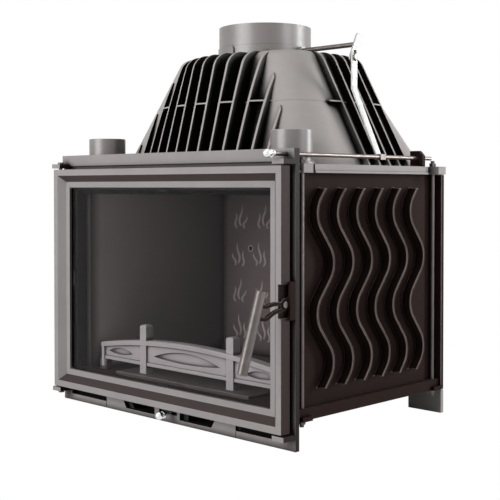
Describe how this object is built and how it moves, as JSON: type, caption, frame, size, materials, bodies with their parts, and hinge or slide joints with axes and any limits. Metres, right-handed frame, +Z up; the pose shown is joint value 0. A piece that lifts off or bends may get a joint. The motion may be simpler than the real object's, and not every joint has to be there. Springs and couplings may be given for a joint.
{
  "type": "fireplace insert",
  "caption": "Cast-iron wood-burning fireplace insert with a glazed swing door, wavy-ribbed side walls, a finned convection hood, a flue collar with a damper, and air spigots.",
  "frame": {"origin": "on the floor, at the middle of the whole insert's width and depth", "axes": "+Z up, the door's face towards -Y, +X to the latch side as seen from the front's viewer"},
  "size_m": [0.712, 0.612, 0.815],
  "materials": {
    "cast_iron": "warm graphite, fine sand-cast grain",
    "cast_iron_bare": "bare light grey casting",
    "zinc_steel": "bright zinc plate",
    "chrome": "polished chrome",
    "dark_steel": "dark oiled steel",
    "painted_steel": "matt black heat-proof paint",
    "ceramic_glass": "clear ceramic pane",
    "glass_rope": "braided glass-fibre rope, grey"
  },
  "bodies": {
    "firebox": {"front_plate": "cast_iron", "side_plate_left": "cast_iron", "side_plate_right": "cast_iron", "back_plate": "cast_iron", "rear_feet": "cast_iron", "top_plate": "cast_iron", "bottom_plate": "cast_iron", "hood": "cast_iron", "flue_collar": "cast_iron", "shaft_bosses": "cast_iron", "air_spigot_left": "cast_iron", "air_spigot_right": "cast_iron", "lining_left": "cast_iron", "lining_right": "cast_iron", "fireback": "cast_iron", "baffle_plate": "cast_iron", "fire_grate": "cast_iron", "guard_seats": "cast_iron", "log_guard": "cast_iron_bare", "tie_rods": "dark_steel", "tie_rod_nuts": "dark_steel", "hinge_pins": "dark_steel", "latch_keeper": "dark_steel", "rod_bracket": "dark_steel", "ash_box": "painted_steel", "ash_pan": "painted_steel", "slider_rail": "painted_steel", "airwash_duct": "painted_steel"},
    "door": {"door_frame": "cast_iron", "door_glass": "ceramic_glass", "glass_tape": "glass_rope", "glass_clips": "dark_steel", "clip_screws": "dark_steel", "door_seal": "glass_rope", "latch_pin": "dark_steel"},
    "latch": {"latch_lever": "dark_steel", "latch_hook": "dark_steel", "handle_grip": "dark_steel"},
    "air_control": {"air_slider": "painted_steel", "air_knob": "chrome"},
    "damper_control": {"control_rod": "zinc_steel", "control_knob": "chrome", "control_link": "zinc_steel", "link_clamp": "zinc_steel"},
    "damper": {"damper_shaft": "zinc_steel", "damper_disc": "cast_iron_bare", "damper_crank": "zinc_steel", "crank_bolt": "zinc_steel"}
  },
  "joints": [
    {"name": "door_hinge", "type": "hinge", "parent": "firebox", "child": "door", "pos_m": [-0.33, -0.1925, 0.272], "axis": [0, 0, -1], "range_deg": [0, 110]},
    {"name": "latch_turn", "type": "hinge", "parent": "door", "child": "latch", "pos_m": [0.3365, -0.193, 0.264], "axis": [-1, 0, 0], "range_deg": [-9, 40]},
    {"name": "air_slide", "type": "slide", "parent": "firebox", "child": "air_control", "axis": [1, 0, 0], "range_m": [-0.034, 0.012]},
    {"name": "damper_slide", "type": "slide", "parent": "firebox", "child": "damper_control", "axis": [0, 1, 0], "range_m": [-0.004, 0.03]},
    {"name": "damper_turn", "type": "hinge", "parent": "firebox", "child": "damper", "pos_m": [0, 0.1135, 0.759], "axis": [1, 0, 0], "range_deg": [-8.5, 62]}
  ],
  "couplings": [
    {"joint": "damper_turn", "follows": "damper_slide", "rad_per_m": 35.78}
  ]
}
